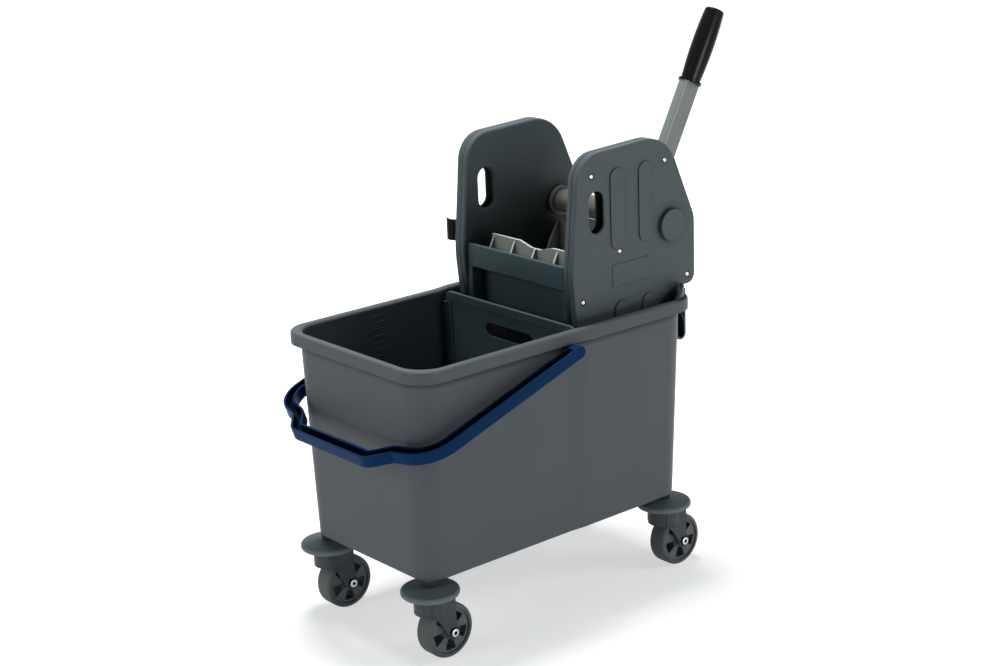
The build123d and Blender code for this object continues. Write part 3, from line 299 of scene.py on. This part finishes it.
# Carrying handle: a channel moulded in deep blue polypropylene, glossier than the tub.
# Its two stub pins turn in bosses on the sides of the tub.
blue_plastic = moulded(
    "blue_handle_polypropylene",
    colour=(0.0022, 0.023, 0.079),
    roughness=0.36,
    grain=1100.0,
    depth=0.00006,
    specular=0.03,
)
blue_plastic.dress("bail_handle")

# Castor stems: turned steel pins with a black coat, pressed into sockets under the tub.
# A collar stops each pin at its socket, and its lower end carries a bumper disc and a fork.
stem_coat = moulded(
    "black_stem_coat", colour=(0.03, 0.034, 0.038), roughness=0.36, grain=1800.0, depth=0.00003
)
stem_coat.dress("castor_stems")

# Castors, four alike: a soft bumper disc over a polypropylene fork, and a wheel on a bolt.
# The disc is a matt rubber, the fork a hard dark plastic, the tyre a grey rubber on a nylon core.
# The bolt is zinc plated steel, with fine tool marks along it and painted shade where it meets the fork.
corners = ("front_left", "front_right", "rear_left", "rear_right")
zinc = (0.62, 0.63, 0.64)
marks_along_x = (60.0, 900.0, 900.0)


def rubber(name, colour, roughness, bloom):
    """Moulded rubber: matt skin with a fine leathery bump, and a pale bloom in soft patches."""
    finish = Finish(name, IOR=1.47, Specular_IOR_Level=0.1)
    skin = finish.node(
        "ShaderNodeTexVoronoi", {"feature": "F1"}, {"Vector": finish.place, "Scale": 900.0}
    )
    cloud = finish.noise(scale=32.0, detail=5.0)
    film = finish.between(cloud, low=0.45, high=0.8) * bloom
    bloom_grey = (0.2, 0.2, 0.195)
    cloud_dulling = 0.12
    finish.wear(
        colour=finish.mix(film, colour, bloom_grey),
        roughness=roughness + cloud * cloud_dulling,
        relief=skin,
        depth=0.00008,
        strength=0.35,
    )
    return finish


def plated(name, colour, roughness, marks, foot_shade=0.0):
    """Bare or plated metal: fine tool marks in bump and roughness, soft patches, painted shade round its
    foot.
    """
    finish = Finish(name, Metallic=1.0)
    tool = finish.noise(scale=1.0, detail=4.0, fineness=marks)
    patches = finish.noise(scale=60.0, detail=3.0)
    dark = shade(colour, 0.82)
    tint = finish.mix(patches, dark, colour)
    # Painted shade: near black where the surfaces round the metal's foot close in.
    if foot_shade:
        shade_black = (0.004, 0.004, 0.004)
        tint = finish.painted_shade(tint, shade_black, shade_strength=foot_shade, shade_reach=0.006, own=False)
    tool_dulling = 0.1
    patch_dulling = 0.12
    finish.wear(
        colour=tint,
        roughness=roughness + tool * tool_dulling + patches * patch_dulling,
        relief=tool,
        depth=0.00004,
        strength=0.3,
    )
    return finish


disc_rubber = rubber("bumper_disc_rubber", colour=(0.122, 0.15, 0.16), roughness=0.46, bloom=0.1)
tyre_rubber = rubber("tyre_rubber", colour=(0.104, 0.108, 0.111), roughness=0.5, bloom=0.18)
# The fork and the wheel core darken with painted shade in their own recesses.
fork_plastic = moulded(
    "fork_polypropylene",
    colour=(0.062, 0.066, 0.073),
    roughness=0.42,
    grain=1300.0,
    shade_strength=2.5,
    shade_reach=0.03,
)
wheel_nylon = moulded(
    "wheel_core_nylon", colour=(0.135, 0.142, 0.151), roughness=0.36, grain=1700.0, shade_strength=1.2
)
axle_zinc = plated("zinc_axle_steel", zinc, roughness=0.2, marks=marks_along_x, foot_shade=5.0)
for corner in corners:
    disc_rubber.dress(f"bumper_disc_{corner}")
    fork_plastic.dress(f"fork_{corner}")
    wheel_nylon.dress(f"wheel_{corner}")
    tyre_rubber.dress(f"tyre_{corner}")
    axle_zinc.dress(f"axle_bolt_{corner}")

# Wringer cheeks: hollow side mouldings in slate grey, a little greener than the tub.
# The covers close them from outside and are held by five dome-head screws each.
wringer_slate = (0.079, 0.095, 0.103)
# The cheeks' slate is the covers' made 12 percent lighter: painted light for their inner faces.
lit_cheek_slate = (0.088, 0.106, 0.116)
wringer_grain = 1250.0
# Painted shade reaching 14 cm, counting all pieces near, darkens the cheeks towards the bottom and between
# them.
cheek_plastic = moulded(
    "wringer_cheek_polypropylene",
    lit_cheek_slate,
    roughness=0.47,
    grain=wringer_grain,
    depth=0.0001,
    shade_strength=5.0,
    shade_reach=0.14,
    own=False,
)
cheek_plastic.dress("left_cheek", "right_cheek")
# Painted shade darkens the covers round their own raised details.
cover_plastic = moulded(
    "wringer_cover_polypropylene",
    wringer_slate,
    roughness=0.44,
    grain=wringer_grain,
    depth=0.00011,
    shade_strength=1.6,
)
cover_plastic.dress("left_cover", "right_cover")
# Painted shade darkens each screw head round its edge, where it meets the cover.
screw_zinc = plated(
    "zinc_screw_steel", colour=(0.56, 0.48, 0.4), roughness=0.16, marks=marks_along_x, foot_shade=12.0
)
screw_zinc.dress("left_cover_screws", "right_cover_screws")

# Cross members: the front frame with its bar and panel, and the seat bar at the back.
# They are moulded like the cheeks and join them into one cage.
# Painted shade darkens the frame in its corners and where the pieces round it close in.
frame_plastic = moulded(
    "front_frame_polypropylene",
    colour=(0.056, 0.086, 0.096),
    roughness=0.48,
    grain=wringer_grain,
    own=False,
)
frame_plastic.dress("front_frame")
bar_plastic = moulded(
    "rear_bar_polypropylene", colour=(0.066, 0.08, 0.087), roughness=0.48, grain=wringer_grain
)
bar_plastic.dress("rear_bar")

# Press plates and drum: warm grey glass-filled nylon with a slightly chalky skin.
# The front plate is fixed in the frame, and the jaw and the drum turn with the lever.
nylon = {"grain": 1600.0, "depth": 0.00008, "mottle": 0.06}
# The plate's nylon is lifted far above the jaw's and drum's tone as painted light for a face that gets
# little light; its painted shade counts the pieces round it.
plate_nylon = moulded(
    "front_plate_nylon", colour=(0.54, 0.55, 0.505), roughness=0.52, shade_strength=1.5, own=False, **nylon
)
plate_nylon.dress("front_press_plate")
jaw_nylon = moulded("jaw_nylon", colour=(0.2, 0.196, 0.18), roughness=0.5, shade_strength=2.0, **nylon)
jaw_nylon.dress("rear_press_jaw")
drum_nylon = moulded("drum_nylon", colour=(0.13, 0.129, 0.118), roughness=0.36, shade_strength=0.7, **nylon)
drum_nylon.dress("press_drum")

# Wiping lip: a thin bead of black rubber along the upper edge of the jaw.
# It swings with the jaw about its hinge and just clears the drum.
hinge_y = 0.16
hinge_z = 0.382448
lip_half_length = 0.08
lip_half_width = 0.0018
lip_rise = 0.001
lip_radius = 0.1184
lip_angle = math.radians(62.3)
lip_rubber = rubber("lip_rubber", colour=(0.02, 0.02, 0.02), roughness=0.5, bloom=0.1)
# The bead is the same lens, carried along X: its ellipse stands on a circle about the hinge.
bead_radius = lip_radius + lip_rise * swell * np.cos(v)
bead_angle = lip_angle - lip_half_width / lip_radius * swell * np.sin(v)
bead_x = lip_half_length * u
bead_y = hinge_y + bead_radius * np.cos(bead_angle)
bead_z = hinge_z + bead_radius * np.sin(bead_angle)
bead = np.stack([bead_x, bead_y, bead_z], -1)
wiping_lip = put("wiping_lip", bead, bar_faces(bar_rings, bar_round), lip_rubber.material, "jaw_body")

# Shafts, bushes and gears: what turns inside the cheeks, with the spring that lifts the lever.
# The shafts are drawn steel, the bushes white acetal, the toothed pieces cast zinc.
shaft_steel = plated(
    "drawn_shaft_steel", colour=(0.5, 0.5, 0.49), roughness=0.3, marks=(40.0, 900.0, 900.0)
)
shaft_steel.dress("press_shaft", "jaw_shaft")
bush_acetal = moulded(
    "bush_acetal",
    colour=(0.62, 0.61, 0.58),
    roughness=0.35,
    grain=900.0,
    depth=0.00004,
    mottle=0.03,
)
bush_acetal.dress("left_shaft_bush", "right_shaft_bush")
gear_zinc = plated(
    "cast_gear_zinc", colour=(0.4, 0.4, 0.41), roughness=0.42, marks=(300.0, 300.0, 300.0)
)
gear_zinc.dress("left_lever_gear", "right_lever_gear", "left_jaw_gear", "right_jaw_gear")
spring_steel = plated(
    "spring_steel", colour=(0.45, 0.45, 0.46), roughness=0.25, marks=(900.0, 900.0, 60.0)
)
spring_steel.dress("return_spring")

# Lever: an oval steel tube powder coated in grey, bolted into the holder on the drum.
# The coat has a fine orange peel and faint rub marks along its length.
lever_turn = (math.radians(-28.74), 0.0, 0.0)
coat_grey = (0.182, 0.2, 0.182)
rubbed_grey = (0.21, 0.229, 0.207)
coat_roughness = 0.27
rub_dulling = 0.12
tube_coat = Finish("grey_powder_coat", IOR=1.5, Specular_IOR_Level=0.3)
peel = tube_coat.noise(scale=700.0, detail=2.0)
rub = tube_coat.noise(scale=1.0, detail=5.0, fineness=(420.0, 420.0, 7.0), turn=lever_turn)
tube_coat.wear(
    colour=tube_coat.mix(rub, coat_grey, rubbed_grey),
    roughness=coat_roughness + rub * rub_dulling,
    relief=peel,
    depth=0.00004,
    strength=0.3,
)
tube_coat.dress("lever_tube")
bolt_zinc = plated("zinc_lever_bolt", zinc, roughness=0.24, marks=marks_along_x)
bolt_zinc.dress("lever_bolt")

# Lever grip: a black vinyl sleeve pushed over the tube, with a polished skin.
# Handling leaves it slightly duller in long patches.
grip_black = (0.002, 0.002, 0.002)
handled_black = (0.004, 0.004, 0.0035)
grip_roughness = 0.25
handling_dulling = 0.08
grip_vinyl = Finish("black_grip_vinyl", IOR=1.5, Specular_IOR_Level=0.08)
handled = grip_vinyl.noise(scale=1.0, detail=4.0, fineness=(60.0, 60.0, 14.0), turn=lever_turn)
grip_skin = grip_vinyl.noise(scale=1100.0, detail=2.0)
grip_vinyl.wear(
    colour=grip_vinyl.mix(handled, grip_black, handled_black),
    roughness=grip_roughness + handled * handling_dulling,
    relief=grip_skin,
    depth=0.00001,
    strength=0.3,
)
grip_vinyl.dress("lever_grip")

# Handle clip: a springy open ring of black acetal on a slate bracket.
# It holds a mop's handle upright on the outside of the left cover.
bracket_plastic = moulded(
    "clip_bracket_polypropylene", wringer_slate, roughness=0.46, grain=wringer_grain
)
bracket_plastic.dress("clip_bracket")
clip_acetal = moulded(
    "black_clip_acetal",
    colour=(0.003, 0.003, 0.0035),
    roughness=0.28,
    grain=1400.0,
    depth=0.00004,
    specular=0.04,
)
clip_acetal.dress("handle_clip")

# Studio: white paper under the trolley that keeps its shadow and runs out to plain white,
# with softboxes overhead and on all sides, and a low wide strip before the bucket.
# One more strip on the right lights no matt surface and shows as a glint on the gloss alone.
floor_half = 9.0
floor_mesh = bpy.data.meshes.new("studio_floor")
floor_points = np.array([[-1, -1, 0], [1, -1, 0], [1, 1, 0], [-1, 1, 0]]) * floor_half
floor_mesh.from_pydata(floor_points.tolist(), [], [(0, 1, 2, 3)])
studio_floor = bpy.data.objects.new("studio_floor", floor_mesh)
bpy.context.collection.objects.link(studio_floor)
paper_shade = (0.94, 0.917, 0.913)
paper_light = (0.955, 0.932, 0.928)
paper_seen = (0.6, 0.585, 0.583)
near_glow = 0.57
added_glow = 0.47
paper = Finish("studio_paper", Roughness=0.9, Specular_IOR_Level=0.05, Emission_Strength=1.0)
reach = paper.node("ShaderNodeVectorMath", {"operation": "LENGTH"}, {"Vector": paper.place}, "Value")
seen = paper.shown()
bounce = paper.mix(paper.noise(scale=3.0), paper_shade, paper_light)
paper.feed(
    Base_Color=paper.mix(seen, bounce, paper_seen),
    Emission_Color=seen * (near_glow + paper.between(reach, low=0.45, high=1.5) * added_glow),
)
floor_mesh.materials.append(paper.material)

surround_light = (0.025, 0.075, 0.085)
surround_seen = (1.0, 1.0, 1.0)
world = bpy.data.worlds.new("studio_surround")
bpy.context.scene.world = world
surround = Nodes(world, "Background")
surround.feed(Color=surround.mix(surround.shown(), surround_light, surround_seen))


def softbox(name, place, aim, size, power):
    """A rectangular area lamp at a place, turned to look at its aim, and itself out of sight."""
    lamp = bpy.data.lights.new(name, "AREA")
    lamp.shape = "RECTANGLE"
    lamp.size, lamp.size_y = size
    lamp.energy = power
    holder = bpy.data.objects.new(name, lamp)
    out = (Vector(place) - Vector(aim)).normalized()
    holder.matrix_world = Matrix.Translation(place) @ out.to_track_quat("Z", "Y").to_matrix().to_4x4()
    holder.visible_camera = False
    bpy.context.collection.objects.link(holder)
    return holder


softbox("overhead_softbox", place=(-0.45, 0.1, 3.3), aim=(0.0, 0.0, 0.3), size=(0.9, 0.9), power=112.0)
softbox("side_softbox", place=(2.3, 0.45, 0.2), aim=(0.0, 0.1, 0.3), size=(2.4, 0.36), power=10.8)
softbox("rear_right_softbox", place=(1.7, 1.6, 1.5), aim=(0.0, 0.1, 0.4), size=(1.0, 0.7), power=14.0)
softbox("left_softbox", place=(-2.4, 0.9, 0.25), aim=(0.0, 0.1, 0.3), size=(2.4, 0.4), power=8.0)
softbox("rear_softbox", place=(-0.3, 2.9, 0.5), aim=(0.0, 0.0, 0.35), size=(1.6, 0.7), power=8.0)
softbox("front_strip", place=(-0.05, -1.5, 0.1), aim=(-0.05, 0.0, 0.25), size=(2.4, 0.16), power=4.0)
softbox("front_softbox", place=(-0.2, -2.7, 1.6), aim=(0.0, 0.0, 0.4), size=(1.4, 0.7), power=15.0)
glint_strip = softbox(
    "glint_strip", place=(2.3, 0.06, 0.97), aim=(0.0, 0.2, 0.6), size=(0.6, 1.1), power=48.0
)
glint_strip.visible_diffuse = False

# Camera: the photograph's place, a little above the rim and off the front right corner.
# Its turn, roll and slide were fitted to the straight edges of the bucket and the cheeks.
view_azimuth = math.radians(49.9208)
view_elevation = math.radians(17.0204)
view_roll = math.radians(-2.1233)
view_target = Vector((0.0, 0.0, 0.3))
view_distance = 2.72904
slide_right = 0.008029
slide_up = 0.070431
away = Vector(
    (
        math.sin(view_azimuth) * math.cos(view_elevation),
        -math.cos(view_azimuth) * math.cos(view_elevation),
        math.sin(view_elevation),
    )
)
level_right = Vector((math.cos(view_azimuth), math.sin(view_azimuth), 0.0))
level_up = away.cross(level_right)
camera_right = level_right * math.cos(view_roll) + level_up * math.sin(view_roll)
camera_up = level_up * math.cos(view_roll) - level_right * math.sin(view_roll)
lens = bpy.data.cameras.new("photograph_camera")
lens.sensor_fit = "HORIZONTAL"
lens.sensor_width = 36.0
lens.lens = 71.881
camera = bpy.data.objects.new("photograph_camera", lens)
camera_turn = Matrix((camera_right, camera_up, away)).transposed().to_4x4()
stand = view_target + away * view_distance + camera_right * slide_right + camera_up * slide_up
camera.matrix_world = Matrix.Translation(stand) @ camera_turn
bpy.context.collection.objects.link(camera)
bpy.context.scene.camera = camera
bpy.context.scene.view_settings.view_transform = "Standard"
